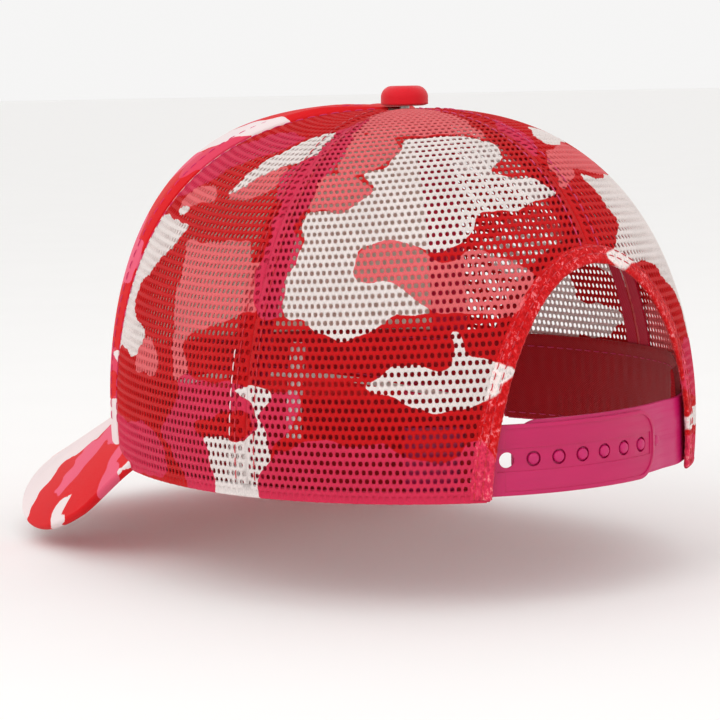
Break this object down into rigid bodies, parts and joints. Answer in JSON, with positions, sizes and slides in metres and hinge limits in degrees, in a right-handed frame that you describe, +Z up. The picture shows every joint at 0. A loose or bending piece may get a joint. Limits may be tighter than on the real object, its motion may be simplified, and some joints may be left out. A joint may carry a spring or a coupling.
{
  "type": "trucker cap",
  "caption": "Five-panel trucker cap: foam-backed front, mesh sides and back, curved visor, covered top button and an adjustable plastic snap strap under a rear arch.",
  "frame": {"origin": "centre of the head opening, on the plane of the crown's lower edge", "axes": "-Y towards the visor, +X towards the wearer's left, +Z up through the top button"},
  "size_m": [0.1706, 0.241, 0.146],
  "materials": {
    "camo_cloth": "smooth printed polyester, red, pink and white camouflage",
    "foam": "laminated foam lining",
    "camo_mesh": "printed polyester mesh, red, pink and white camouflage",
    "tape": "woven seam tape",
    "sweatband": "cotton twill",
    "label": "woven satin, blank",
    "strap_plastic": "moulded, satin",
    "board": "polyethylene sheet",
    "button_cloth": "knitted polyester",
    "button_metal": "plated"
  },
  "bodies": {
    "root": {"front_panel_cloth": "camo_cloth", "front_panel_foam": "foam", "side_panel_left": "camo_mesh", "side_panel_right": "camo_mesh", "rear_panel_left": "camo_mesh", "rear_panel_right": "camo_mesh", "seam_tape_front_left": "tape", "seam_tape_side_left": "tape", "seam_tape_back": "tape", "seam_tape_side_right": "tape", "seam_tape_front_right": "tape", "arch_facing_left": "camo_mesh", "arch_facing_right": "camo_mesh", "sweatband": "sweatband", "care_label": "label", "hole_strap_tab": "strap_plastic", "peg_strap_tab": "strap_plastic", "visor_board": "board", "visor_top_cover": "camo_cloth", "visor_under_cover": "camo_cloth", "visor_edge_fold": "camo_cloth", "button_shell": "button_metal", "button_cover": "button_cloth", "button_back": "button_metal"},
    "hole_strap": {"hole_strap": "strap_plastic"},
    "peg_strap": {"peg_strap": "strap_plastic"}
  },
  "joints": [
    {"name": "hole_strap_bend", "type": "hinge", "parent": "root", "child": "hole_strap", "pos_m": [0.037, 0.07893, 0.011], "axis": [0, 0, -1], "range_deg": [0, 60], "stiffness_Nm_per_rad": 0.02},
    {"name": "peg_strap_bend", "type": "hinge", "parent": "root", "child": "peg_strap", "pos_m": [-0.037, 0.07893, 0.0118], "axis": [0, 0, -1], "range_deg": [0, 25], "stiffness_Nm_per_rad": 0.02}
  ]
}
